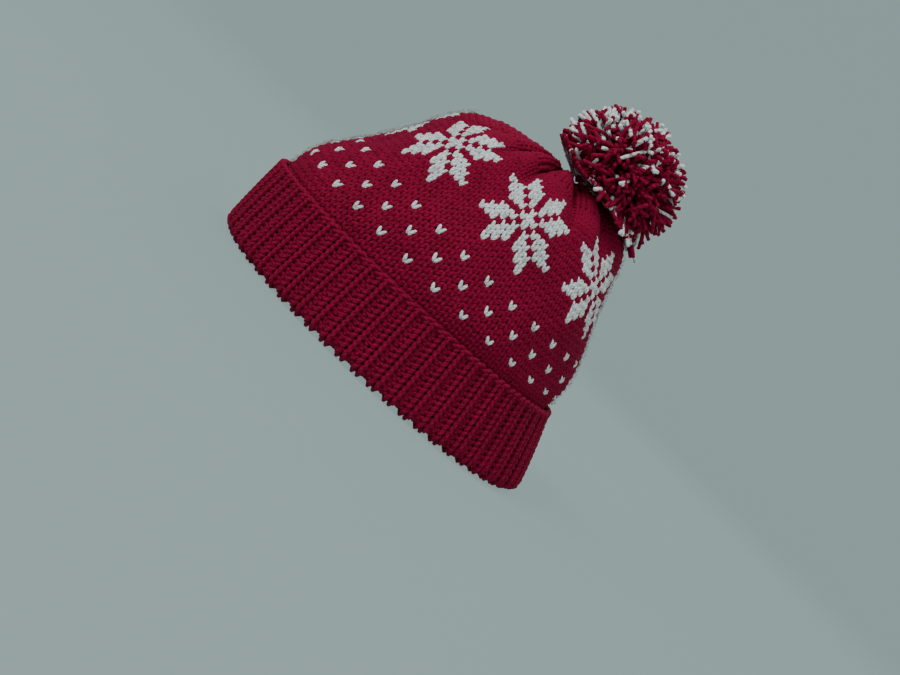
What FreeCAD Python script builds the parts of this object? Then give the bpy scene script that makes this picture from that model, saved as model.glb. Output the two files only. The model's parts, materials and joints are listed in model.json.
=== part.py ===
import FreeCAD, Part
import math
import os

# Hand-knitted pom-pom hat with a turned-up ribbed brim.
# Frame: +Z up along the hat's axis, forehead towards -Y, back of the head towards +Y.
# Origin: centre of the head opening, on the plane that the brim's fold stands on.

doc = FreeCAD.newDocument("pompom_hat")
sheet = doc.addObject("Spreadsheet::Sheet", "dims")
V = FreeCAD.Vector

# ---------------------------------------------------------------- driving dimensions (mm)

DIMS = {
    "knit": 4.0,                 # thickness of one layer of knitting
    "cuff_knit": 4.8,            # the ribbing that is turned up is plumper
    "fold_height": 6.0,          # rolled fold under the brim
    "fold_round": 1.6,           # how much wider the fold's middle is than its lowest edge
    "cuff_top": 44.0,            # height of the turned-up ribbing
    "edge_height": 3.0,          # cast-on ridge on top of the turned-up ribbing
    "edge_gap": 1.0,             # room between the cast-on ridge and the crown
    "yarn": 0.8,                 # how far the white stitches and floats stand proud
    "stitch_gap": 0.3,           # room under a flat petal where the crown bulges
    "row_height": 3.67,          # one row of knitting, measured up the hat
    "stitch": 4.4,               # one stitch, measured round the hat
    "first_seed_row": 59.5,      # height of the lowest row of white seed stitches
    "seed_row_gap": 11.0,        # height from one row of seed stitches to the next
    "snowflake_height": 117.0,   # height of the snowflakes' centres
    "petal_width": 8.0,
    "petal_length": 13.0,
    "petal_start": 11.0,         # from the snowflake's centre to the petals' inner ends
    "float_gap": 1.2,            # slack of the carried yarn behind the knitting
    "pivot_back": 12.0,          # the pompom is sewn on here, at the drawn-up centre
    "pivot_height": 149.5,
    "draw_hole": 4.2,            # radius of the hole that the tails go through
    "dip_radius": 22.0,          # hollow that the drawn thread makes round the hole
    "dip_depth": 8.5,
    "thread": 1.0,               # radius of the drawing thread
    "gathered_height": 136.0,    # the drawn-up top starts here
    "shank": 3.5,                # radius of the twisted yarn tails
    "shank_length": 18.0,
    "loop": 3.0,                 # half size of the tails' loop, round the axis that the pompom lifts on
    "knot": 6.5,                 # radius of the knot inside the crown
    "knot_drop": 17.0,           # depth of the knot's centre under the pivot
    "pompom": 41.0,
    "pompom_back": 31.0,
    "pompom_height": 165.5,
    "waist": 7.5,                # radius of the pompom's tied waist
    "stalk": 2.5,                # radius of the tie between the waist and the twisted tails
    "stalk_gap": 4.3,            # the stalk stops this far from the pivot
    "tuft": 5.6,                 # radius of one bunch of white ends
    "tuft_start": 16.5,
    "rest_gap": 1.0,             # room between the pompom and the crown
    "room_height": 17.0,         # the pompom is hollowed over this height of the crown
    "room_high": 38.0,           # radius of that hollow at the crown's top
    "room_low": 62.0,            # its radius at the bottom
}
SNOWFLAKES = 7
PETALS = 8
SEEDS_PER_ROW = 28
TUFTS = 20
FIRST_SNOWFLAKE = 10.0           # degrees behind the hat's right side
NOD_RANGE = 25.0                 # degrees that the pompom lifts from lying back

# Oval sections, from the bottom up: height, centre behind the origin, half depth, half breadth.
LINING = [(6.0, 0.0, 107.0, 89.0), (26.0, -3.5, 103.5, 86.5), (46.0, -7.0, 99.5, 84.0)]
CROWN = [
    (46.0, -7.0, 99.5, 84.0),
    (65.0, -5.0, 97.0, 82.0),
    (87.0, -1.0, 87.0, 74.5),
    (105.0, 2.0, 78.0, 67.5),
    (122.0, 4.0, 69.5, 60.5),
    (136.0, 6.0, 61.5, 52.5),
    (146.0, 9.0, 50.0, 42.0),
    (152.0, 12.0, 33.0, 28.0),
    (154.5, 12.0, 14.0, 14.0),
]

for number, (alias, value) in enumerate(DIMS.items(), start=1):
    sheet.set(f"A{number}", alias)
    sheet.set(f"B{number}", str(value))
    sheet.setAlias(f"B{number}", alias)


def enter_sections(prefix, sections, column):
    """Write a list of oval sections to the sheet, one alias for each number."""
    row = 1
    for index, section in enumerate(sections):
        for word, value in zip(("height", "centre", "depth", "breadth"), section):
            cell = f"{column}{row}"
            sheet.set(cell, str(value))
            sheet.setAlias(cell, f"{prefix}_{index}_{word}")
            row += 1


enter_sections("lining", LINING, "D")
enter_sections("crown", CROWN, "F")
doc.recompute()


# ---------------------------------------------------------------- helpers

def bind(obj, **expressions):
    """Bind properties of an object to expressions in the sheet's dimensions."""
    for name, expression in expressions.items():
        obj.setExpression(name, expression)
    return obj


def place(obj, x=None, y=None, z=None):
    """Bind an object's position, axis by axis."""
    for axis, expression in (("x", x), ("y", y), ("z", z)):
        if expression is not None:
            obj.setExpression(f"Placement.Base.{axis}", expression)
    return obj


def turn(obj, axis, angle):
    obj.Placement = FreeCAD.Placement(obj.Placement.Base, FreeCAD.Rotation(axis, angle))
    return obj


def loft(name, prefix, indexes, grow="0", lower=None):
    """Solid through oval sections, each grown sideways and lowered by an expression."""
    ovals = []
    for index in indexes:
        oval = doc.addObject("Part::Ellipse", f"{name}_oval_{index}")
        key = f"dims.{prefix}_{index}"
        turn(oval, V(0, 0, 1), 90)
        bind(oval, MajorRadius=f"{key}_depth + {grow}", MinorRadius=f"{key}_breadth + {grow}")
        drop = lower(index) if lower else "0"
        place(oval, y=f"{key}_centre", z=f"{key}_height - {drop}")
        ovals.append(oval)
    solid = doc.addObject("Part::Loft", name)
    solid.Sections = ovals
    solid.Solid = True
    return solid


def ring_section(name, depth, breadth, height, centre):
    oval = doc.addObject("Part::Ellipse", name)
    turn(oval, V(0, 0, 1), 90)
    bind(oval, MajorRadius=depth, MinorRadius=breadth)
    return place(oval, y=centre, z=height)


def loft_of(name, ovals):
    solid = doc.addObject("Part::Loft", name)
    solid.Sections = ovals
    solid.Solid = True
    return solid


def cut(name, base, tool):
    obj = doc.addObject("Part::Cut", name)
    obj.Base = base
    obj.Tool = tool
    return obj


def common(name, base, tool):
    obj = doc.addObject("Part::Common", name)
    obj.Base = base
    obj.Tool = tool
    return obj


def fuse(name, shapes):
    obj = doc.addObject("Part::MultiFuse", name)
    obj.Shapes = shapes
    return obj


def group(name, shapes):
    obj = doc.addObject("Part::Compound", name)
    obj.Links = shapes
    return obj


def cylinder(name, radius, height):
    return bind(doc.addObject("Part::Cylinder", name), Radius=radius, Height=height)


def box(name, length, width, height):
    return bind(doc.addObject("Part::Box", name), Length=length, Width=width, Height=height)


nodes = []


def keep(obj, label):
    """Name an object as one of the hat's sub-parts."""
    obj.Label = label
    nodes.append(obj)
    return obj


def crown_section(height):
    """Centre, half depth and half breadth of the crown's outside at a height."""
    for low, high in zip(CROWN, CROWN[1:]):
        if height <= high[0]:
            part = (height - low[0]) / (high[0] - low[0])
            return [a + (b - a) * part for a, b in zip(low[1:], high[1:])]
    return CROWN[-1][1:]


# ---------------------------------------------------------------- crown

def top_drop(index):
    """The crown's inside falls away from its outside towards the top."""
    share = (index / (len(CROWN) - 1)) ** 2
    return f"dims.knit * {share:.3f}"


all_crown = range(len(CROWN))
crown_outside = loft("crown_outside", "crown", all_crown)
crown_inside = loft("crown_inside", "crown", all_crown, grow="-dims.knit", lower=top_drop)

dip = bind(
    doc.addObject("Part::Cone", "dip"),
    Radius1="dims.draw_hole",
    Radius2="dims.dip_radius",
    Height="dims.dip_depth",
)
place(dip, y="dims.pivot_back", z="dims.pivot_height - 2.5")
draw_hole = cylinder("draw_hole", "dims.draw_hole", "40")
place(draw_hole, y="dims.pivot_back", z="dims.pivot_height - 25")
crown_shell = cut("crown_shell", crown_outside, crown_inside)
whole_crown = cut("whole_crown", crown_shell, fuse("gathered_centre", [dip, draw_hole]))
top_slab = place(box("top_slab", "300", "300", "60"), x="-150", y="-150", z="dims.gathered_height")
keep(cut("crown_wall", whole_crown, top_slab), "crown")
keep(common("gathered_top", whole_crown, top_slab), "gathered_top")

gather = bind(doc.addObject("Part::Torus", "gather"), Radius1="dims.draw_hole + 3.2", Radius2="dims.thread")
place(gather, y="dims.pivot_back", z="dims.pivot_height + 0.25")
keep(gather, "gather_thread")

# ---------------------------------------------------------------- ribbed brim

lining_outside = loft("lining_outside", "lining", range(len(LINING)))
lining_inside = loft("lining_inside", "lining", range(len(LINING)), grow="-dims.knit")
keep(cut("rib_lining", lining_outside, lining_inside), "rib_lining")

cuff_outside = loft_of("cuff_outside", [
    ring_section("cuff_low", "dims.lining_0_depth + dims.cuff_knit",
                 "dims.lining_0_breadth + dims.cuff_knit", "dims.fold_height", "0"),
    ring_section("cuff_middle", "dims.lining_1_depth + dims.cuff_knit",
                 "dims.lining_1_breadth + dims.cuff_knit", "dims.lining_1_height",
                 "dims.lining_1_centre"),
    ring_section("cuff_high", "dims.lining_2_depth + dims.cuff_knit",
                 "dims.lining_2_breadth + dims.cuff_knit", "dims.cuff_top",
                 "dims.lining_2_centre"),
])
keep(cut("turned_up_rib", cuff_outside, lining_outside), "turned_up_rib")

fold_outside = loft_of("fold_outside", [
    ring_section("fold_outer_low", "dims.lining_0_depth + dims.fold_round",
                 "dims.lining_0_breadth + dims.fold_round", "0", "0"),
    ring_section("fold_outer_high", "dims.lining_0_depth + dims.cuff_knit",
                 "dims.lining_0_breadth + dims.cuff_knit", "dims.fold_height", "0"),
])
fold_inside = loft_of("fold_inside", [
    ring_section("fold_inner_low", "dims.lining_0_depth - dims.fold_round",
                 "dims.lining_0_breadth - dims.fold_round", "0", "0"),
    ring_section("fold_inner_high", "dims.lining_0_depth - dims.knit",
                 "dims.lining_0_breadth - dims.knit", "dims.fold_height", "0"),
])
keep(cut("brim_fold", fold_outside, fold_inside), "brim_fold")

edge_outside = loft_of("edge_outside", [
    ring_section(f"edge_outer_{level}", "dims.lining_2_depth + dims.cuff_knit + dims.yarn",
                 "dims.lining_2_breadth + dims.cuff_knit + dims.yarn",
                 f"dims.cuff_top + {level} * dims.edge_height", "dims.lining_2_centre")
    for level in (0, 1)
])
edge_inside = loft_of("edge_inside", [
    ring_section(f"edge_inner_{level}", "dims.lining_2_depth + dims.edge_gap",
                 "dims.lining_2_breadth + dims.edge_gap",
                 f"dims.cuff_top + {level} * dims.edge_height", "dims.lining_2_centre")
    for level in (0, 1)
])
keep(cut("cast_on_edge", edge_outside, edge_inside), "cast_on_edge")

# ---------------------------------------------------------------- white pattern

doc.recompute()
outer_face = max(crown_outside.Shape.Faces, key=lambda face: face.Area)


def on_crown(height, degrees):
    """Placement on the crown's outside: X along the surface's normal, Z up the knitting."""
    centre, depth, breadth = crown_section(height)
    angle = math.radians(degrees)
    guess = V(breadth * math.cos(angle), centre + depth * math.sin(angle), height)
    point = outer_face.distToShape(Part.Vertex(guess))[1][0][0]
    normal = outer_face.normalAt(*outer_face.Surface.parameter(point))
    if normal.dot(guess - V(0, centre, height)) < 0:
        normal = normal * -1
    sideways = V(0, 0, 1).cross(normal).normalize()
    rotation = FreeCAD.Rotation(normal, sideways, normal.cross(sideways), "XYZ")
    return FreeCAD.Placement(point, rotation)


def stitch_block(name, frame, width, height, lean=0.0, out=0.0):
    """Thin block lying just on the crown, its lower edge out from the frame's origin."""
    block = box(name, "dims.yarn", f"dims.{width}", f"dims.{height}")
    corner = FreeCAD.Placement(V(DIMS["stitch_gap"], -DIMS[width] / 2, out), FreeCAD.Rotation())
    turned = FreeCAD.Placement(V(), FreeCAD.Rotation(V(1, 0, 0), lean))
    block.Placement = frame.multiply(turned).multiply(corner)
    return block


def seed_row(label, row, shift):
    """One round of single white stitches."""
    height = DIMS["first_seed_row"] + row * DIMS["seed_row_gap"]
    blocks = []
    for index in range(SEEDS_PER_ROW):
        degrees = FIRST_SNOWFLAKE + (index + shift) * 360 / SEEDS_PER_ROW
        frame = on_crown(height, degrees)
        low = -DIMS["row_height"] / 2
        blocks.append(stitch_block(f"{label}_{index}", frame, "stitch", "row_height", out=low))
    keep(group(label, blocks), label)


seed_row("seed_stitches_low", 0, 0.25)
seed_row("seed_stitches_middle", 1, 0.75)
seed_row("seed_stitches_high", 2, 0.25)


def snowflake(number):
    """Eight petals round a centre, each petal lying flat on the crown at its own middle."""
    label = f"snowflake_{number}"
    degrees = FIRST_SNOWFLAKE + (number - 1) * 360 / SNOWFLAKES
    depth = crown_section(DIMS["snowflake_height"])[1]
    reach = DIMS["petal_start"] + DIMS["petal_length"] / 2
    petals = []
    for index in range(PETALS):
        lean = math.radians(360 / PETALS * (index + 0.5))
        height = DIMS["snowflake_height"] + reach * math.cos(lean)
        turn_back = math.degrees(reach * math.sin(lean) / depth)
        frame = on_crown(height, degrees - turn_back)
        petals.append(stitch_block(
            f"{label}_petal_{index}", frame, "petal_width", "petal_length",
            lean=math.degrees(lean), out=-DIMS["petal_length"] / 2))
    keep(group(label, petals), label)


for number in range(1, SNOWFLAKES + 1):
    snowflake(number)


def inside_section(name, height, inset):
    """Oval just inside the crown's inner face."""
    centre, depth, breadth = crown_section(height)
    oval = doc.addObject("Part::Ellipse", name)
    turn(oval, V(0, 0, 1), 90)
    bind(oval, MajorRadius=f"{depth} - dims.knit - {inset}",
         MinorRadius=f"{breadth} - dims.knit - {inset}")
    return place(oval, y=str(centre), z=str(height))


def floats(label, low, high):
    """The white yarn carried across the inside of one patterned band."""
    outer, inner = (
        loft_of(f"{label}_{side}", [
            inside_section(f"{label}_{side}_{level}", height, inset)
            for level, height in enumerate((low, high))
        ])
        for side, inset in (("outer", "dims.float_gap"), ("inner", "(dims.float_gap + dims.yarn)"))
    )
    keep(cut(label, outer, inner), label)


SEED_BAND = (DIMS["first_seed_row"] - DIMS["row_height"],
             DIMS["first_seed_row"] + 2 * DIMS["seed_row_gap"] + DIMS["row_height"])
FLAKE_REACH = DIMS["petal_start"] + DIMS["petal_length"]
FLAKE_BAND = (DIMS["snowflake_height"] - FLAKE_REACH, DIMS["snowflake_height"] + FLAKE_REACH - 8)
floats("seed_floats", *SEED_BAND)
floats("snowflake_floats", *FLAKE_BAND)

# ---------------------------------------------------------------- tie that swivels in the crown

shank = cylinder("shank", "dims.shank", "dims.shank_length")
place(shank, y="dims.pivot_back", z="dims.pivot_height - dims.shank_length")
tail_loop = turn(cylinder("tail_loop", "dims.loop", "2 * dims.loop"), V(0, 1, 0), 90)
place(tail_loop, x="-dims.loop", y="dims.pivot_back", z="dims.pivot_height")
keep(fuse("yarn_tails", [shank, tail_loop]), "yarn_tails")

knot_ball = bind(doc.addObject("Part::Sphere", "knot_ball"), Radius="dims.knot")
place(knot_ball, y="dims.pivot_back", z="dims.pivot_height - dims.knot_drop")
keep(cut("inside_knot", knot_ball, shank), "inside_knot")

# ---------------------------------------------------------------- pompom

ball = bind(doc.addObject("Part::Sphere", "ball"), Radius="dims.pompom")
place(ball, y="dims.pompom_back", z="dims.pompom_height")

# Room for the crown while the pompom lies back: a cone round the pivot's upright axis.
crown_room = bind(doc.addObject("Part::Cone", "crown_room"), Radius1="dims.room_low",
                  Radius2="dims.room_high", Height="dims.room_height")
place(crown_room, y="dims.pivot_back", z="dims.crown_8_height + dims.rest_gap - dims.room_height")
under_room = cylinder("under_room", "120", "60")
place(under_room, y="dims.pivot_back", z="dims.crown_8_height + dims.rest_gap - dims.room_height - 60")

# Room for the crown when the pompom is lifted: the same level, turned back about the pivot.
lift_room = box("lift_room", "240", "240", "80")
level = DIMS["pivot_height"]
above_pivot = CROWN[-1][0] + DIMS["rest_gap"] - level
down = FreeCAD.Placement(V(-120, -120, above_pivot - 80), FreeCAD.Rotation())
pivot = FreeCAD.Placement(V(0, DIMS["pivot_back"], level), FreeCAD.Rotation(V(1, 0, 0), -NOD_RANGE))
lift_room.Placement = pivot.multiply(down)
trimmed_ball = cut("trimmed_ball", ball, fuse("rooms", [crown_room, under_room, lift_room]))

# The stalk runs from the waist to just short of the twisted tails' end.
pompom_centre = V(0, DIMS["pompom_back"], DIMS["pompom_height"])
pivot_point = V(0, DIMS["pivot_back"], DIMS["pivot_height"])
lean = pompom_centre - pivot_point
stalk_start = pivot_point + V(lean).normalize() * DIMS["stalk_gap"]
stalk_rod = cylinder("stalk_rod", "dims.stalk", str(lean.Length - DIMS["stalk_gap"]))
stalk_rod.Placement = FreeCAD.Placement(stalk_start, FreeCAD.Rotation(V(0, 0, 1), lean))
waist = bind(doc.addObject("Part::Sphere", "waist"), Radius="dims.waist")
place(waist, y="dims.pompom_back", z="dims.pompom_height")
pompom_shape = cut("pompom_shape", trimmed_ball, fuse("tie_room", [waist, stalk_rod]))
keep(waist, "pompom_waist_tie")
keep(cut("stalk", stalk_rod, waist), "pompom_stalk")


def tuft_direction(index):
    """Evenly spread directions over a sphere."""
    up = 1 - 2 * (index + 0.5) / TUFTS
    round_angle = index * math.pi * (3 - math.sqrt(5))
    flat = math.sqrt(1 - up * up)
    return V(flat * math.cos(round_angle), flat * math.sin(round_angle), up)


tufts = []
for index in range(TUFTS):
    direction = tuft_direction(index)
    tuft = cylinder(f"tuft_{index}", "dims.tuft", "dims.pompom")
    start = pompom_centre + direction * DIMS["tuft_start"]
    tuft.Placement = FreeCAD.Placement(start, FreeCAD.Rotation(V(0, 0, 1), direction))
    tufts.append(tuft)
tuft_group = group("tuft_group", tufts)
keep(common("pompom_white_yarn", pompom_shape, tuft_group), "pompom_white_yarn")

keep(cut("pompom_red_yarn", pompom_shape, tuft_group), "pompom_red_yarn")

# ---------------------------------------------------------------- check and write

doc.recompute()
for obj in doc.Objects:
    problems = [word for word in obj.State if word in ("Invalid", "Error")]
    if problems:
        raise RuntimeError(f"{obj.Name} ({obj.Label}): {problems}")
for node in nodes:
    shape = node.Shape
    if shape.isNull() or not shape.isValid() or not shape.Solids:
        raise RuntimeError(f"{node.Label} has no valid solid")

os.makedirs("parts", exist_ok=True)
for node in nodes:
    node.Shape.exportStep(f"parts/{node.Label}.step")
    box_of_node = node.Shape.BoundBox
    print(
        f"{node.Label:24s} solids {len(node.Shape.Solids):3d} volume {node.Shape.Volume / 1000:8.2f} cm3 "
        f"x {box_of_node.XMin:7.1f} {box_of_node.XMax:7.1f} "
        f"y {box_of_node.YMin:7.1f} {box_of_node.YMax:7.1f} "
        f"z {box_of_node.ZMin:7.1f} {box_of_node.ZMax:7.1f}"
    )
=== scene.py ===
import json
import math

import bpy
import numpy as np
from mathutils import Matrix, Vector
from mathutils.bvhtree import BVHTree


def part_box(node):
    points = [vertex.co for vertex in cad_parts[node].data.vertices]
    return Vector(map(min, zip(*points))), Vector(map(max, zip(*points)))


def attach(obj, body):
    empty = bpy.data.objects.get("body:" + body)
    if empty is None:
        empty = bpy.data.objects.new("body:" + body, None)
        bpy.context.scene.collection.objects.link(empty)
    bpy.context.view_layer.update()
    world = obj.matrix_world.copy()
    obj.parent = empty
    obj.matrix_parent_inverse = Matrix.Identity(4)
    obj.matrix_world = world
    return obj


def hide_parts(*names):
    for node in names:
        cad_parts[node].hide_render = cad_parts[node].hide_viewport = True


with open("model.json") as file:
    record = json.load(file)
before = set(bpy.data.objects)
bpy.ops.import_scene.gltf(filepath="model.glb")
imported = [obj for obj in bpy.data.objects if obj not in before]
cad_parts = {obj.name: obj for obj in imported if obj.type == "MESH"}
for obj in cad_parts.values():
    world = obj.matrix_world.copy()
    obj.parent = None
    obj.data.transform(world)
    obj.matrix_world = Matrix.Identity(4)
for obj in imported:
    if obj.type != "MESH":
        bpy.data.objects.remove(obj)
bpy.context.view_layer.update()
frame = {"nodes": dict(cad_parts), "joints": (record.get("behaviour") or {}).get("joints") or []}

# ---------------------------------------------------------------- sizes, in metres

STITCHES = 112                # stitches in one round of the hat
STEPS = 12                    # points along one stitch
SIDES = 6                     # sides of a yarn's tube
YARN = 0.00132                # radius of the knitting yarn
FULL_WIDTH = 0.0035           # stitches narrower than this get thinner yarn
OVERHANG = 0.23               # how far a loop's head is wider than its neck, in stitches
HEAD_TAPER = 0.30             # the yarn is drawn thin where a loop's head goes behind the next row
LOOP_RISE = 0.76              # half a loop's height, in rows
LOOP_DEPTH = 0.0009           # half of a loop's front-to-back travel
INSET = 0.0019                # knitting's middle, in from the CAD part's outside

ROW_HEIGHT = 0.00367
FLAT_ROWS = 24                # rows of the crown below the gathered top
TOP_ROWS = 16                 # rows from there to the drawn-up centre
ROW_TILT = 0.045              # the rows run down towards the back
TILT_CENTRE = -0.030
FOLDS = 9                    # gathers round the crown's top
FOLD_DEPTH = 0.0100

CUFF_ROWS = 12                # ribbing rows on the turned-up face
LINING_ROWS = 11
RIB_DEPTH = 0.0013
RIB_SPREAD = 0.10             # knit columns are wider than purl ones, in stitches

FIRST_STAR = 3                # stitch column of the first snowflake's centre
STAR_GAP = 16
STAR_ROW = 20                 # crown row of the snowflakes' centres
SEED_ROWS = {"low": (4, 1), "middle": (7, -1), "high": (10, 1)}
SEED_GAP = 4

STRANDS = 2100                # cut ends in the pompom
STRAND = 0.00106
WHITE_SHARE = 0.24

FIBRES = 5000                 # loose hairs on the crown, and as many on the brim
FIBRE = 0.00006

# The eight-petalled star, one quarter: row from its centre and the columns that are white.
STAR_ROWS = {
    0: (0, 1),
    1: (0, 2, 3, 4),
    2: (1, 3, 4, 5),
    3: (1, 2, 4, 5, 6),
    4: (1, 2, 3),
    5: (2, 3),
    6: (3,),
}

rng = np.random.default_rng(7)


# ---------------------------------------------------------------- reading the CAD shapes

def tree_of(*names):
    vertices, polygons = [], []
    for name in names:
        mesh = frame["nodes"][name].data
        first = len(vertices)
        vertices += [v.co for v in mesh.vertices]
        polygons += [[first + index for index in p.vertices] for p in mesh.polygons]
    return BVHTree.FromPolygons(vertices, polygons)


def centre_of(node):
    low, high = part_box(node)
    return (low + high) / 2


def outside_point(tree, centre_y, angle, height):
    """Where the part's outside is, seen from far away at an angle round it."""
    direction = Vector((math.cos(angle), math.sin(angle), 0))
    hit = tree.ray_cast(Vector((0, centre_y, height)) + direction * 0.4, -direction)[0]
    return hit


def ring_on(tree, centre_y, height, tilt=0.0, count=2 * STITCHES):
    """Points round a part's outside at a height, evenly spaced from its +X side.

    The spacing is eased on the far side, so that stitch columns stand upright there as well.
    """
    points = []
    for index in range(512):
        angle = index / 512 * math.tau
        level = height
        for _ in range(2):
            hit = outside_point(tree, centre_y, angle, level)
            level = height - tilt * (hit.y - TILT_CENTRE)
        points.append(hit)
    points = np.array(points)
    closed = np.vstack([points, points[:1]])
    length = np.concatenate([[0], np.cumsum(np.linalg.norm(np.diff(closed, axis=0), axis=1))])
    part = np.arange(count) / count
    part += (length[256] / length[-1] - 0.5) * np.sin(math.pi * part) ** 4
    wanted = part * length[-1]
    return np.stack([np.interp(wanted, length, closed[:, axis]) for axis in range(3)], axis=1)


class Fabric:
    """A grid of points, two to a stitch round the hat and one to a row, that knitting follows."""

    def __init__(self, points, face):
        self.points = points
        around = np.roll(points, -1, axis=1) - np.roll(points, 1, axis=1)
        along = np.gradient(points, axis=0)
        normal = np.cross(around, along) * face
        self.normals = normal / np.linalg.norm(normal, axis=2, keepdims=True)
        self.width = np.linalg.norm(around, axis=2)

    def sample(self, grid, column, row):
        rows, columns = grid.shape[:2]
        across = np.asarray(column) * 2 % columns
        up = np.clip(row, 0, rows - 1.001)
        left, low = np.floor(across).astype(int), np.floor(up).astype(int)
        fx, fy = across - left, up - low
        if grid.ndim == 3:
            fx, fy = fx[:, None], fy[:, None]
        left = left % columns
        right = (left + 1) % columns
        bottom = grid[low, left] * (1 - fx) + grid[low, right] * fx
        top = grid[low + 1, left] * (1 - fx) + grid[low + 1, right] * fx
        return bottom * (1 - fy) + top * fy

    def at(self, column, row, out):
        """Points at fractional stitch columns and rows, out along the fabric's face."""
        normal = self.sample(self.normals, column, row)
        normal /= np.linalg.norm(normal, axis=1, keepdims=True)
        return self.sample(self.points, column, row) + normal * np.reshape(out, (-1, 1)), normal


# ---------------------------------------------------------------- yarn tubes as meshes

class Yarns:
    """Collects yarn tubes and turns them into one mesh."""

    def __init__(self):
        self.vertices, self.faces, self.caps, self.count = [], [], [], 0

    def add(self, path, normals, radius, sides=SIDES, closed=False):
        path = np.asarray(path)
        steps = len(path)
        radius = np.broadcast_to(radius, steps)
        if closed:
            tangent = np.roll(path, -1, axis=0) - np.roll(path, 1, axis=0)
        else:
            tangent = np.gradient(path, axis=0)
        tangent /= np.maximum(np.linalg.norm(tangent, axis=1, keepdims=True), 1e-12)
        side = np.cross(tangent, normals)
        side /= np.maximum(np.linalg.norm(side, axis=1, keepdims=True), 1e-12)
        up = np.cross(side, tangent)
        angle = np.arange(sides) / sides * math.tau
        ring = side[:, None] * np.cos(angle)[None, :, None] + up[:, None] * np.sin(angle)[None, :, None]
        tube = (path[:, None] + ring * radius[:, None, None]).reshape(-1, 3)
        last = steps if closed else steps - 1
        i, k = np.meshgrid(np.arange(last), np.arange(sides), indexing="ij")
        i, k = i.ravel(), k.ravel()
        j, m = (i + 1) % steps, (k + 1) % sides
        quads = np.stack([i * sides + k, i * sides + m, j * sides + m, j * sides + k], axis=1)
        run = np.concatenate([[0], np.cumsum(np.linalg.norm(np.diff(path, axis=0), axis=1))])
        start, end = run[i], np.where(j == 0, run[-1] + 1e-3, run[j])
        low, high = k / sides, (k + 1) / sides
        uv = np.stack([start, low, start, high, end, high, end, low], axis=1).reshape(-1, 2)
        self.vertices.append(tube)
        self.faces.append((quads + self.count, uv))
        if not closed:
            for ring_start, turn in ((0, -1), ((steps - 1) * sides, 1)):
                fan = (np.arange(sides)[::turn] + ring_start + self.count).tolist()
                self.caps.append(fan)
        self.count += len(tube)

    def mesh(self, name):
        quads = np.concatenate([f for f, _ in self.faces])
        uv = np.concatenate([u for _, u in self.faces])
        vertices = np.concatenate(self.vertices)
        caps = np.array([index for cap in self.caps for index in cap], int)
        flat = np.concatenate([quads.ravel(), caps])
        sizes = np.concatenate([np.full(len(quads), 4), np.array([len(cap) for cap in self.caps], int)])
        starts = np.concatenate([[0], np.cumsum(sizes)[:-1]])
        mesh = bpy.data.meshes.new(name)
        mesh.vertices.add(len(vertices))
        mesh.vertices.foreach_set("co", vertices.astype(np.float32).ravel())
        mesh.loops.add(len(flat))
        mesh.loops.foreach_set("vertex_index", flat.astype(np.int32))
        mesh.polygons.add(len(sizes))
        mesh.polygons.foreach_set("loop_start", starts.astype(np.int32))
        mesh.polygons.foreach_set("loop_total", sizes.astype(np.int32))
        layer = mesh.uv_layers.new(name="yarn")
        cap_uv = np.zeros((len(caps), 2))
        layer.data.foreach_set("uv", np.concatenate([uv, cap_uv]).astype(np.float32).ravel())
        mesh.update(calc_edges=True)
        mesh.validate()
        mesh.polygons.foreach_set("use_smooth", np.ones(len(sizes), bool))
        return mesh


def piece(name, mesh, body, material, slot, *nodes):
    """Puts a finished mesh in the scene, on its body, in place of its CAD nodes."""
    obj = bpy.data.objects.new(name, mesh)
    bpy.context.scene.collection.objects.link(obj)
    mesh.materials.append(material)
    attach(obj, body)
    if nodes:
        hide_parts(*nodes)
    return obj


# ---------------------------------------------------------------- materials

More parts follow.
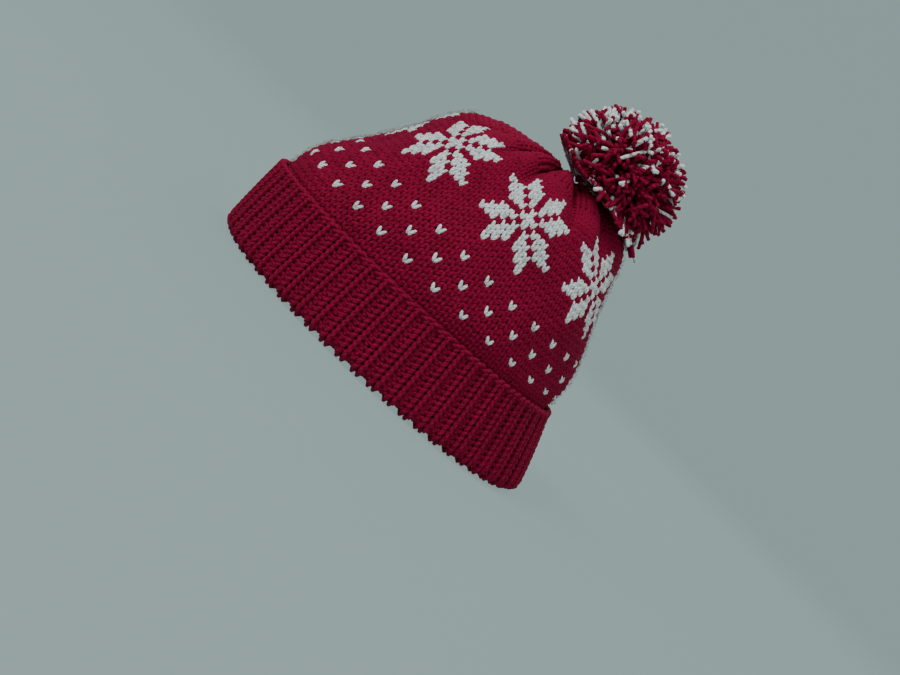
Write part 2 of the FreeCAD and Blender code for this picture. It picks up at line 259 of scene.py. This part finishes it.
def wool(name, colour, groove_shade_colour, ply_length=0.0050, plies=3, sheen=0.10, tint=(1, 1, 1)):
    """Plied wool: the twist runs round the yarn, with fine fibres and uneven dye; the grooves between the
    plies are painted darker, as painted shade.
    """
    material = bpy.data.materials.new(name)
    material.use_nodes = True
    nodes, links = material.node_tree.nodes, material.node_tree.links
    shader = nodes["Principled BSDF"]
    shader.inputs["Roughness"].default_value = 0.88
    shader.inputs["Specular IOR Level"].default_value = 0.12
    shader.inputs["Sheen Weight"].default_value = sheen
    shader.inputs["Sheen Roughness"].default_value = 0.45
    shader.inputs["Sheen Tint"].default_value = (*tint, 1)

    def math_node(operation, *values):
        node = nodes.new("ShaderNodeMath")
        node.operation = operation
        for socket, value in zip(node.inputs, values):
            if isinstance(value, (int, float)):
                socket.default_value = value
            else:
                links.new(value, socket)
        return node.outputs[0]

    uv = nodes.new("ShaderNodeUVMap")
    uv.uv_map = "yarn"
    split = nodes.new("ShaderNodeSeparateXYZ")
    links.new(uv.outputs["UV"], split.inputs[0])
    turns = math_node("ADD", math_node("DIVIDE", split.outputs["X"], ply_length), split.outputs["Y"])
    wave = math_node("SINE", math_node("MULTIPLY", turns, math.tau * plies))
    ply = math_node("POWER", math_node("MULTIPLY_ADD", wave, 0.5, 0.5), 0.6)

    place = nodes.new("ShaderNodeTexCoord")
    dye = nodes.new("ShaderNodeTexNoise")
    dye.inputs["Scale"].default_value = 90
    dye.inputs["Detail"].default_value = 3
    links.new(place.outputs["Object"], dye.inputs["Vector"])
    fibre = nodes.new("ShaderNodeTexNoise")
    fibre.inputs["Scale"].default_value = 2600
    fibre.inputs["Detail"].default_value = 2
    links.new(place.outputs["Object"], fibre.inputs["Vector"])

    # Painted shade: low in the ply wave, between the plies, the colour is mixed towards the darker groove
    # colour; the fibre noise adds uneven tone.
    ply_shade_and_fibre_tone = math_node("ADD", math_node("MULTIPLY", ply, 0.75),
                      math_node("MULTIPLY", fibre.outputs["Fac"], 0.45))
    ramp = nodes.new("ShaderNodeMix")
    ramp.data_type = "RGBA"
    ramp.inputs["A"].default_value = (*groove_shade_colour, 1)
    ramp.inputs["B"].default_value = (*colour, 1)
    links.new(ply_shade_and_fibre_tone, ramp.inputs["Factor"])
    vary = nodes.new("ShaderNodeHueSaturation")
    links.new(ramp.outputs["Result"], vary.inputs["Color"])
    links.new(math_node("MULTIPLY_ADD", dye.outputs["Fac"], 0.5, 0.75), vary.inputs["Value"])
    links.new(vary.outputs["Color"], shader.inputs["Base Color"])

    height = math_node("ADD", ply, math_node("MULTIPLY", fibre.outputs["Fac"], 0.6))
    bump = nodes.new("ShaderNodeBump")
    bump.inputs["Strength"].default_value = 0.6
    bump.inputs["Distance"].default_value = 0.0003
    links.new(height, bump.inputs["Height"])
    links.new(bump.outputs["Normal"], shader.inputs["Normal"])
    return material


# The second colour of each yarn is a darker copy, painted into the grooves between plies as painted shade.
CRIMSON = (0.27, 0.0025, 0.036)
CRIMSON_GROOVE_SHADE = (0.14, 0.0012, 0.016)
CREAM = (0.80, 0.82, 0.82)
CREAM_GROOVE_SHADE = (0.46, 0.48, 0.50)
PINK = (1.0, 0.10, 0.25)

red_knit = wool("crimson_wool", CRIMSON, CRIMSON_GROOVE_SHADE, tint=PINK)
red_rib = wool("crimson_ribbing", CRIMSON, CRIMSON_GROOVE_SHADE, tint=PINK)
white_wool = wool("white_wool", CREAM, CREAM_GROOVE_SHADE)
tie_wool = wool("crimson_tie", CRIMSON, CRIMSON_GROOVE_SHADE, ply_length=0.004, tint=PINK)
pom_red = wool("crimson_cut_wool", CRIMSON, CRIMSON_GROOVE_SHADE, ply_length=0.0065, plies=2, tint=PINK)
pom_white = wool("white_cut_wool", CREAM, CREAM_GROOVE_SHADE, ply_length=0.0065, plies=2)


def felt_for_hairs_and_shade(name, colour):
    """Matt fibrous material with uneven tone, for the loose hairs and, in a dark red that is painted shade,
    for the sheet seen between the stitches.
    """
    material = bpy.data.materials.new(name)
    material.use_nodes = True
    nodes, links = material.node_tree.nodes, material.node_tree.links
    shader = nodes["Principled BSDF"]
    shader.inputs["Roughness"].default_value = 0.95
    shader.inputs["Specular IOR Level"].default_value = 0.1
    noise = nodes.new("ShaderNodeTexNoise")
    noise.inputs["Scale"].default_value = 900
    noise.inputs["Detail"].default_value = 4
    place = nodes.new("ShaderNodeTexCoord")
    links.new(place.outputs["Object"], noise.inputs["Vector"])
    ramp = nodes.new("ShaderNodeValToRGB")
    ramp.color_ramp.elements[0].color = (*[c * 0.5 for c in colour], 1)
    ramp.color_ramp.elements[1].color = (*colour, 1)
    links.new(noise.outputs["Fac"], ramp.inputs["Fac"])
    links.new(ramp.outputs["Color"], shader.inputs["Base Color"])
    bump = nodes.new("ShaderNodeBump")
    bump.inputs["Distance"].default_value = 0.0003
    links.new(noise.outputs["Fac"], bump.inputs["Height"])
    links.new(bump.outputs["Normal"], shader.inputs["Normal"])
    return material


# Dark red for the sheet behind the loops: painted shade in the gaps between the stitches.
red_gap_shade = felt_for_hairs_and_shade("crimson_gap_shade", (0.17, 0.0015, 0.022))

# ---------------------------------------------------------------- the crown's fabric

crown_low, crown_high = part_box("crown")[0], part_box("gathered_top")[1]
joints = {joint["name"]: joint for joint in frame["joints"]}
pivot = np.array(joints["pompom_lift"]["pos_m"])
crown_tree = tree_of("crown", "gathered_top")
rib_low, rib_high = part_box("rib_lining")
BASE = crown_low.z


def smooth(value, start, end):
    part = np.clip((value - start) / (end - start), 0, 1)
    return part * part * (3 - 2 * part)


def top_point(x, y):
    """The crown's top straight under a point, nudged if the ray slips between two facets."""
    for nudge in (0.0, 2e-4, -2e-4, 5e-4):
        hit = crown_tree.ray_cast(Vector((x + nudge, y + nudge, 0.4)), Vector((0, 0, -1)))[0]
        if hit:
            return hit
    return crown_tree.find_nearest(Vector((x, y, crown_high.z)))[0]


def crown_rows():
    rings = []
    for row in range(FLAT_ROWS + 1):
        tilt = ROW_TILT * float(smooth(row, 0, 5))
        rings.append(ring_on(crown_tree, 0.0, BASE + 0.0004 + row * ROW_HEIGHT, tilt))
    top = rings[-1]
    hole = 0.0060
    meridians = []
    for point in top:
        flat = point[:2] - pivot[:2]
        end = pivot[:2] + flat / np.linalg.norm(flat) * hole
        path = []
        for part in np.linspace(0, 1, 40):
            x, y = point[:2] * (1 - part) + end * part
            path.append(top_point(x, y))
        path = np.array(path)
        path[0] = point
        length = np.concatenate([[0], np.cumsum(np.linalg.norm(np.diff(path, axis=0), axis=1))])
        wanted = np.linspace(0, length[-1], TOP_ROWS + 1)[1:]
        meridians.append(np.stack([np.interp(wanted, length, path[:, a]) for a in range(3)], axis=1))
    return np.concatenate([np.array(rings), np.array(meridians).transpose(1, 0, 2)])


def gather(points):
    """Sinks rounded folds into the crown's top, deepest part way to the centre."""
    cloth = Fabric(points, 1)
    rows, columns = points.shape[:2]
    angle = np.linspace(0, math.tau, columns, endpoint=False)[None, :]
    row = np.arange(rows)[:, None]
    wander = 0.55 * np.sin(2 * angle + 0.7) + 0.35 * np.sin(5 * angle + 2.1) + 0.05 * row * np.sin(angle)
    ridge = np.abs(np.sin(FOLDS / 2 * angle + wander)) ** 0.75
    uneven = 0.75 + 0.25 * np.sin(3 * angle + 1.0)
    depth = smooth(row, FLAT_ROWS - 6, FLAT_ROWS + 6) * (1 - 0.75 * smooth(row, rows - 7, rows - 1))
    sag = 0.0010 * np.sin(4 * angle + 0.25 * row) + 0.0007 * np.sin(7 * angle - 0.33 * row)
    low_sag = sag * smooth(row, 1, 6) * (1 - smooth(row, FLAT_ROWS, rows - 4))
    offset = -FOLD_DEPTH * depth * uneven * (1 - ridge) + low_sag - 0.0005
    return points + cloth.normals * offset[:, :, None]


crown = Fabric(gather(crown_rows()), 1)
CROWN_ROWS = FLAT_ROWS + TOP_ROWS

# ---------------------------------------------------------------- knitting

loosen = rng.normal(0, 1, (128, STITCHES, 2))


def jitter(row, column, which):
    values = loosen[row % 128, :, which]
    return np.interp(column % STITCHES, np.arange(STITCHES + 1), np.append(values, values[0]))


def knit(fabric, row, start, end, plump=1.0, proud=0.0, share=1):
    """Stockinette loops along a row, from one stitch column to another."""
    steps = max(int(round((end - start) / share * STEPS)), 4)
    column = np.linspace(start, end, steps + 1)
    turn = column / share * math.tau
    across = column + share * OVERHANG * np.sin(2 * turn) + 0.045 * jitter(row, column, 0)
    along = row + LOOP_RISE * np.cos(turn) + 0.05 * jitter(row, column, 1)
    width = fabric.sample(fabric.width, column, np.full_like(column, float(row))) * share
    slim = np.clip(width / FULL_WIDTH, 0.35, 1.0)
    out = -INSET - LOOP_DEPTH * slim * np.cos(2 * turn) + proud
    path, normal = fabric.at(across, along, out)
    thin = 1 - HEAD_TAPER * np.maximum(np.cos(turn), 0) ** 2
    return path, normal, YARN * plump * slim * thin


def rib(fabric, row, start, end, depth, loop):
    """Knit-one-purl-one loops: even columns face out and odd ones face in."""
    column = np.linspace(start, end, int(round((end - start) * STEPS)) + 1)
    turn = column * math.tau
    face = np.cos(math.pi * column)
    across = column + OVERHANG * np.sin(2 * turn) + RIB_SPREAD * np.sin(math.pi * column)
    along = row + LOOP_RISE * np.cos(turn) + 0.04 * jitter(row, column, 1)
    out = depth * face - loop * 1.3 * face * np.cos(2 * turn)
    path, normal = fabric.at(across, along, out)
    return path, normal, YARN


def backing(name, fabric, rows, out, material, body, slot):
    """Thin closed sheet behind the loops, so that light doesn't pass the gaps; its dark colour is painted
    shade seen between the stitches.
    """
    columns = fabric.points.shape[1]
    layers = []
    for level in (out, out - 0.0006):
        for row in rows:
            layers.append(fabric.points[row] + fabric.normals[row] * level)
    grid = np.array(layers)
    count = len(rows)
    faces = []
    for row in range(count - 1):
        for column in range(columns):
            after = (column + 1) % columns
            a, b = row * columns + column, row * columns + after
            c, d = b + columns, a + columns
            faces.append((a, b, c, d))
            shift = count * columns
            faces.append((a + shift, d + shift, c + shift, b + shift))
    for row in (0, count - 1):
        for column in range(columns):
            after = (column + 1) % columns
            a, b = row * columns + column, row * columns + after
            shift = count * columns
            rim = (a, a + shift, b + shift, b)
            faces.append(rim if row == 0 else rim[::-1])
    mesh = bpy.data.meshes.new(name)
    mesh.from_pydata(grid.reshape(-1, 3).tolist(), [], faces)
    mesh.polygons.foreach_set("use_smooth", np.ones(len(faces), bool))
    return piece(name, mesh, body, material, slot)


# ---------------------------------------------------------------- the white pattern

def star_columns(row):
    """White stitch columns of one snowflake's row, counted from its centre."""
    return sorted({sign * column for column in STAR_ROWS[abs(row)] for sign in (-1, 1)})


stars = {}
for number in range(STITCHES // STAR_GAP):
    centre = FIRST_STAR + number * STAR_GAP
    for row in range(-6, 7):
        for column in star_columns(row):
            stars[(STAR_ROW + row, (centre + column) % STITCHES)] = f"snowflake_{number + 1}"
seeds = {}
for name, (row, shift) in SEED_ROWS.items():
    for index in range(STITCHES // SEED_GAP):
        seeds[(row, (FIRST_STAR + shift + index * SEED_GAP) % STITCHES)] = f"seed_stitches_{name}"
white = {**stars, **seeds}


def runs(flags):
    """Unbroken runs of true values round a closed row, as (first, last)."""
    count = len(flags)
    if all(flags):
        return [(0, count - 1)]
    found = []
    for start in range(count):
        if flags[start] and not flags[start - 1]:
            end = start
            while flags[(end + 1) % count]:
                end += 1
            found.append((start, end))
    return found


motifs = {name: Yarns() for name in sorted(set(white.values()))}
for row in range(CROWN_ROWS):
    names = [white.get((row, column)) for column in range(STITCHES)]
    for name in sorted(set(filter(None, names))):
        for first, last in runs([n == name for n in names]):
            motifs[name].add(*knit(crown, row, first - 0.5, last + 0.5, plump=0.80, proud=0.00040))
for name, yarns in motifs.items():
    piece(name, yarns.mesh(name), "hat", white_wool, "white_yarn", name)


def float_path(row, first, last):
    """White yarn hanging slack behind the knitting between two white stitches."""
    column = np.linspace(first, last, max(int((last - first) * 4), 6))
    part = (column - first) / (last - first)
    hang = np.sin(math.pi * part)
    along = row - LOOP_RISE * (1 - 0.75 * hang) + 0.12 * jitter(row + 50, column, 0) * hang
    out = -INSET - LOOP_DEPTH - (0.0019 + 0.00010 * (last - first)) * hang ** 0.5
    path, normal = crown.at(column, along, out)
    return path, normal, YARN * 0.9


for name, cells in (("seed_floats", seeds), ("snowflake_floats", stars)):
    strands = Yarns()
    for row in sorted({cell[0] for cell in cells}):
        gaps = runs([(row, column) not in cells for column in range(STITCHES)])
        for first, last in gaps:
            strands.add(*float_path(row, first - 0.5, last + 0.5))
    piece(name, strands.mesh(name), "hat", white_wool, "white_yarn", name)

# ---------------------------------------------------------------- red crown

def stitch_share(row):
    """Stitches are knitted together towards the top."""
    if row < FLAT_ROWS + 6:
        return 1
    return 2 if row < FLAT_ROWS + 12 else 4


bands = [("crown", 0, 7), ("crown", 7, 13), ("crown", 13, 19), ("crown", 19, 25),
         ("gathered_top", 25, 31), ("gathered_top", 31, CROWN_ROWS)]
for number, (node, first_row, end_row) in enumerate(bands, start=1):
    yarns = Yarns()
    for row in range(first_row, end_row):
        reds = [(row, column) not in white for column in range(STITCHES)]
        share = stitch_share(row)
        if all(reds):
            half = share / 2
            yarns.add(*knit(crown, row, -half, STITCHES - half, share=share))
            continue
        for first, last in runs(reds):
            yarns.add(*knit(crown, row, first - 0.5, last + 0.5))
    name = f"crown_band_{number}"
    piece(name, yarns.mesh(name), "hat", red_knit, "red_knit", node)
# Dark sheet behind the crown's loops: painted shade between the stitches.
backing("crown_shade_sheet", crown, range(CROWN_ROWS), -INSET - 0.0001, red_gap_shade, "hat", "red_knit")

# ---------------------------------------------------------------- ribbed brim

turned_tree = tree_of("turned_up_rib")
lining_tree = tree_of("rib_lining")
cuff_low, cuff_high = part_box("turned_up_rib")
CUFF_INSET = 0.0022
LINING_INSET = 0.0021


def inward(ring, distance):
    """A ring of points moved towards the hat's axis."""
    flat = ring - np.array([0, ring[:, 1].mean(), 0])
    flat[:, 2] = 0
    return ring - flat / np.linalg.norm(flat, axis=1, keepdims=True) * distance


def brim_rows():
    edge_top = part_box("cast_on_edge")[1].z
    fold_level = cuff_low.z - 0.0007
    outer = []
    for height in np.linspace(edge_top - 0.0022, fold_level, CUFF_ROWS + 1):
        level = min(max(height, cuff_low.z + 0.0002), cuff_high.z - 0.0002)
        ring = inward(ring_on(turned_tree, 0.0, level), CUFF_INSET)
        ring[:, 2] = height
        outer.append(ring)
    inner = []
    for height in np.linspace(fold_level, rib_high.z + 0.001, LINING_ROWS + 1):
        level = min(max(height, rib_low.z + 0.0002), rib_high.z - 0.0002)
        ring = inward(ring_on(lining_tree, 0.0, level), LINING_INSET)
        ring[:, 2] = height
        inner.append(ring)
    middle = (outer[-1] + inner[0]) / 2
    middle[:, 2] = fold_level - np.linalg.norm(outer[-1] - inner[0], axis=1).mean() / 2
    return np.array(outer + [middle] + inner)


brim = Fabric(brim_rows(), -1)


def ribbed(name, rows, depth, loop, node):
    yarns = Yarns()
    for row in rows:
        yarns.add(*rib(brim, row, -0.5, STITCHES - 0.5, depth, loop))
    piece(name, yarns.mesh(name), "hat", red_rib, "red_ribbing", node)


ribbed("turned_up_rib_knit", range(0, CUFF_ROWS), RIB_DEPTH, LOOP_DEPTH, "turned_up_rib")
ribbed("brim_fold_knit", range(CUFF_ROWS, CUFF_ROWS + 3), RIB_DEPTH, LOOP_DEPTH * 0.9, "brim_fold")
ribbed("rib_lining_knit", range(CUFF_ROWS + 3, CUFF_ROWS + LINING_ROWS + 2), RIB_DEPTH * 0.5,
       LOOP_DEPTH * 0.75, "rib_lining")
# Dark sheet behind the brim's loops: painted shade between the stitches.
backing("brim_shade_sheet", brim, range(CUFF_ROWS + LINING_ROWS + 2), -0.0002, red_gap_shade, "hat", "red_ribbing")


def rope(path, reference, strands, radius, spread, turns, closed=False):
    """Strands twisted round a path; reference is any direction that isn't along it."""
    path = np.asarray(path)
    tangent = (np.roll(path, -1, 0) - np.roll(path, 1, 0)) if closed else np.gradient(path, axis=0)
    tangent /= np.linalg.norm(tangent, axis=1, keepdims=True)
    side = np.cross(tangent, reference)
    side /= np.linalg.norm(side, axis=1, keepdims=True)
    up = np.cross(side, tangent)
    steps = len(path)
    part = np.arange(steps) / (steps if closed else steps - 1)
    for index in range(strands):
        angle = part * turns * math.tau + index / strands * math.tau
        offset = side * np.cos(angle)[:, None] + up * np.sin(angle)[:, None]
        yield path + offset * spread, offset, radius


def cast_on():
    """The chained edge on top of the turned-up ribbing."""
    column = np.linspace(0, STITCHES, STITCHES * 8, endpoint=False)
    path, normal = brim.at(column, np.full_like(column, 0.0), np.full_like(column, 0.0006))
    path[:, 2] += 0.0014 + 0.0003 * np.sin(column * math.pi)
    yarns = Yarns()
    for strand, offset, radius in rope(path, normal, 2, 0.00125, 0.00095, STITCHES / 2, closed=True):
        yarns.add(strand, offset, radius, closed=True)
    piece("cast_on_edge_knit", yarns.mesh("cast_on_edge_knit"), "hat", red_rib, "red_ribbing",
          "cast_on_edge")


cast_on()

# ---------------------------------------------------------------- loose hairs

def loose_hairs(name, fabric, last_row, slot):
    """Short fine hairs that stand off the knitting in curls."""
    hairs = Yarns()
    for _ in range(FIBRES):
        column, row = rng.uniform(0, STITCHES), rng.uniform(0.3, last_row)
        slant, curl = rng.normal(0, 0.6, 2), rng.normal(0, 0.5, 2)
        part = np.linspace(0, 1, 4)
        across = column + slant[0] * part + curl[0] * part ** 2
        along = row + slant[1] * part + curl[1] * part ** 2
        out = -0.0012 + rng.uniform(0.0012, 0.0034) * np.sin(part * 2.2)
        path, normal = fabric.at(across, along, out)
        hairs.add(path, normal, FIBRE, sides=3)
    piece(name, hairs.mesh(name), "hat", hair, slot)


hair = felt_for_hairs_and_shade("crimson_hairs", (0.36, 0.004, 0.05))
loose_hairs("crown_hairs", crown, FLAT_ROWS + 2, "red_knit")
loose_hairs("brim_hairs", brim, CUFF_ROWS, "red_ribbing")

# ---------------------------------------------------------------- ties

def twisted_piece(name, path, reference, body, node, strands=3, radius=0.0011, spread=0.0013,
                  turns=4, closed=False):
    yarns = Yarns()
    for strand, offset, size in rope(path, reference, strands, radius, spread, turns, closed):
        yarns.add(strand, offset, size, closed=closed)
    piece(name, yarns.mesh(name), body, tie_wool, "tie_yarn", node)


ring_low, ring_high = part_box("gather_thread")
ring_angle = np.linspace(0, math.tau, 96, endpoint=False)
ring_radius = (ring_high.x - ring_low.x) / 2 - 0.0012
ring_path = np.stack([
    ring_radius * np.cos(ring_angle),
    pivot[1] + ring_radius * np.sin(ring_angle),
    np.full(96, (ring_low.z + ring_high.z) / 2),
], axis=1)
twisted_piece("gather_thread_twist", ring_path, np.array([0, 0, 1.0]), "hat", "gather_thread",
              strands=2, radius=0.0007, spread=0.0005, turns=12, closed=True)

tails_low, tails_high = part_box("yarn_tails")
tails_path = np.linspace([0, pivot[1], tails_low.z + 0.002], [0, pivot[1], tails_high.z - 0.001], 40)
twisted_piece("yarn_tails_twist", tails_path, np.array([1.0, 0, 0]), "pompom_tie", "yarn_tails")

waist = np.array(centre_of("pompom_waist_tie"))
stalk_direction = (waist - pivot) / np.linalg.norm(waist - pivot)
stalk_path = np.linspace(pivot + stalk_direction * 0.0055, waist - stalk_direction * 0.004, 40)
twisted_piece("pompom_stalk_twist", stalk_path, np.array([1.0, 0, 0]), "pompom", "pompom_stalk",
              radius=0.00095, spread=0.0011)


def knot():
    """A thick overhand knot in the tails' ends, inside the crown."""
    centre = np.array(centre_of("inside_knot"))
    turn = np.linspace(0, math.tau, 160, endpoint=False)
    wide = 2 + np.cos(3 * turn)
    shape = np.stack([wide * np.cos(2 * turn), wide * np.sin(2 * turn), 1.6 * np.sin(3 * turn)], axis=1)
    path = centre + shape * 0.00145
    yarns = Yarns()
    for strand, offset, radius in rope(path, np.array([0.1, 0.2, 1.0]), 2, 0.0010, 0.0008, 20, closed=True):
        yarns.add(strand, offset, radius, closed=True)
    piece("inside_knot_twist", yarns.mesh("inside_knot_twist"), "pompom_tie", tie_wool, "tie_yarn",
          "inside_knot")


knot()


def waist_winding():
    """Yarn wound tightly round the pompom's middle."""
    turns = 9
    turn = np.linspace(0, math.tau * turns, turns * 40)
    part = turn / turn[-1]
    across = np.cross(stalk_direction, [1.0, 0, 0])
    radius = 0.0062 - 0.0014 * np.abs(2 * part - 1)
    along = (part - 0.5) * 0.009
    path = (waist + np.cos(turn)[:, None] * radius[:, None] * np.array([1.0, 0, 0])
            + np.sin(turn)[:, None] * radius[:, None] * across + along[:, None] * stalk_direction)
    normal = path - waist
    yarns = Yarns()
    yarns.add(path, normal, 0.0009)
    piece("pompom_waist_winding", yarns.mesh("pompom_waist_winding"), "pompom", tie_wool, "tie_yarn",
          "pompom_waist_tie")


waist_winding()

# ---------------------------------------------------------------- pompom

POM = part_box("pompom_red_yarn")[1].z - waist[2]
CLEAR = crown_high.z + 0.0022
lift = math.radians(max(joints["pompom_lift"]["range_deg"]))
lift_normal = np.array([0, math.sin(lift), math.cos(lift)])
lift_clear = CLEAR - pivot[2]


def keep_clear(points, spread):
    """Bends strands that would enter the crown, lying back or lifted, out along its top."""
    reach = np.linalg.norm(points[:, :2] - pivot[:2], axis=1)
    floor = CLEAR - np.clip(reach - 0.040, 0, 0.022) * 0.7
    push = np.maximum(floor - points[:, 2], 0)
    points = points + spread * push[:, None] * 0.85
    reach = np.linalg.norm(points[:, :2] - pivot[:2], axis=1)
    floor = CLEAR - np.clip(reach - 0.040, 0, 0.022) * 0.7
    points[:, 2] = np.maximum(points[:, 2], floor)
    depth = lift_clear - (points - pivot) @ lift_normal
    return points + np.maximum(depth, 0)[:, None] * lift_normal


def strand_paths():
    """One path per cut end, from near the waist to the ball's surface."""
    clusters = rng.normal(0, 1, (90, 3))
    clusters /= np.linalg.norm(clusters, axis=1, keepdims=True)
    cluster_white = rng.random(90) < WHITE_SHARE
    for index in range(STRANDS):
        up = 1 - 2 * (index + 0.5) / STRANDS
        turn = index * math.pi * (3 - math.sqrt(5))
        flat = math.sqrt(1 - up * up)
        direction = np.array([flat * math.cos(turn), flat * math.sin(turn), up])
        direction += rng.normal(0, 0.05, 3)
        direction /= np.linalg.norm(direction)
        lean = rng.normal(0, 0.34, 3) + np.array([0, 0, -0.06])
        reach = POM * rng.uniform(0.84, 1.04)
        if direction[2] < 0 or direction @ lift_normal < 0.1:
            reach *= rng.uniform(0.68, 1.0)
        part = np.linspace(0.22, 1, 8)[:, None]
        heading = direction + lean * part ** 2
        heading /= np.linalg.norm(heading, axis=1, keepdims=True)
        path = waist + heading * part * reach
        away = np.array([direction[0], direction[1], 0.0]) + rng.normal(0, 0.15, 3) * [1, 1, 0]
        away /= max(np.linalg.norm(away), 1e-6)
        path = keep_clear(path, away)
        nearest = int(np.argmax(clusters @ direction))
        is_white = cluster_white[nearest] ^ (rng.random() < 0.10)
        yield path, is_white


def pompom():
    red, cream = Yarns(), Yarns()
    reference = np.array([0.31, 0.17, 0.94])
    for path, is_white in strand_paths():
        length = np.linalg.norm(np.diff(path, axis=0), axis=1).sum()
        if length < 0.010:
            continue
        size = STRAND * rng.uniform(0.9, 1.12)
        path = np.vstack([path, path[-1] + (path[-1] - path[-2]) * 0.06])
        radius = np.full(len(path), size)
        radius[-3:] = size * 1.10, size * 1.08, size * 0.55
        (cream if is_white else red).add(path, reference, radius, sides=5)
    piece("pompom_red_strands", red.mesh("pompom_red_strands"), "pompom", pom_red, "pompom_red",
          "pompom_red_yarn")
    piece("pompom_white_strands", cream.mesh("pompom_white_strands"), "pompom", pom_white,
          "white_yarn", "pompom_white_yarn")


pompom()

# ---------------------------------------------------------------- floor, light and camera

def studio():
    """A round pale floor that curves up into a wall, so that no horizon shows."""
    profile = [(0.0, 0.0), (2.2, 0.0)]
    for step in range(1, 13):
        bend = step / 12 * math.pi / 2
        profile.append((2.2 + 1.2 * math.sin(bend), 1.2 - 1.2 * math.cos(bend)))
    profile.append((3.4, 4.0))
    around = 72
    vertices = [(r * math.cos(a / around * math.tau), r * math.sin(a / around * math.tau), z)
                for r, z in profile[1:] for a in range(around)]
    faces = [tuple(range(around))]
    for level in range(len(profile) - 2):
        for a in range(around):
            b = (a + 1) % around
            faces.append((level * around + a, (level + 1) * around + a,
                          (level + 1) * around + b, level * around + b))
    mesh = bpy.data.meshes.new("studio")
    mesh.from_pydata(vertices, [], faces)
    mesh.polygons.foreach_set("use_smooth", [False] + [True] * (len(faces) - 1))
    obj = bpy.data.objects.new("studio", mesh)
    bpy.context.scene.collection.objects.link(obj)
    paint = bpy.data.materials.new("studio_paint")
    paint.use_nodes = True
    shader = paint.node_tree.nodes["Principled BSDF"]
    shader.inputs["Base Color"].default_value = (0.065, 0.078, 0.075, 1)
    shader.inputs["Roughness"].default_value = 0.95
    shader.inputs["Specular IOR Level"].default_value = 0.0
    shader.inputs["Emission Color"].default_value = (0.307, 0.424, 0.413, 1)
    shader.inputs["Emission Strength"].default_value = 0.8
    mesh.materials.append(paint)


studio()

world = bpy.data.worlds.new("sky")
bpy.context.scene.world = world
world.use_nodes = True
sky = world.node_tree.nodes["Background"]
sky.inputs["Color"].default_value = (0.90, 0.97, 0.96, 1)
sky.inputs["Strength"].default_value = 0.45


def area_light(name, position, target, size, power):
    data = bpy.data.lights.new(name, "AREA")
    data.size = size
    data.energy = power
    obj = bpy.data.objects.new(name, data)
    obj.location = position
    obj.rotation_euler = (Vector(target) - Vector(position)).to_track_quat("-Z", "Y").to_euler()
    bpy.context.scene.collection.objects.link(obj)


middle = (0.0, 0.0, 0.09)
area_light("key", (0.9, -0.9, 1.3), middle, 0.9, 22)
area_light("fill", (1.3, 1.1, 0.6), middle, 1.2, 6)
area_light("back", (-1.0, 0.4, 1.2), middle, 1.0, 8)

CAMERA_AZIMUTH = 89.5
CAMERA_ELEVATION = 2.8
CAMERA_ROLL = 43.6
CAMERA_DISTANCE = 0.775
CAMERA_LENS = 54.8
CAMERA_TARGET = (0.0, 0.0, 0.075)
CAMERA_SHIFT = (-0.011, -0.087)

camera_data = bpy.data.cameras.new("camera")
camera_data.lens = CAMERA_LENS
camera_data.sensor_width = 36
camera_data.shift_x, camera_data.shift_y = CAMERA_SHIFT
camera = bpy.data.objects.new("camera", camera_data)
bpy.context.scene.collection.objects.link(camera)
azimuth, elevation = math.radians(CAMERA_AZIMUTH), math.radians(CAMERA_ELEVATION)
back = Vector((math.sin(azimuth) * math.cos(elevation), -math.cos(azimuth) * math.cos(elevation),
               math.sin(elevation)))
turned = back.to_track_quat("Z", "Y").to_matrix() @ Matrix.Rotation(math.radians(CAMERA_ROLL), 3, "Z")
camera.matrix_world = Matrix.Translation(Vector(CAMERA_TARGET) + back * CAMERA_DISTANCE) @ turned.to_4x4()
bpy.context.scene.camera = camera
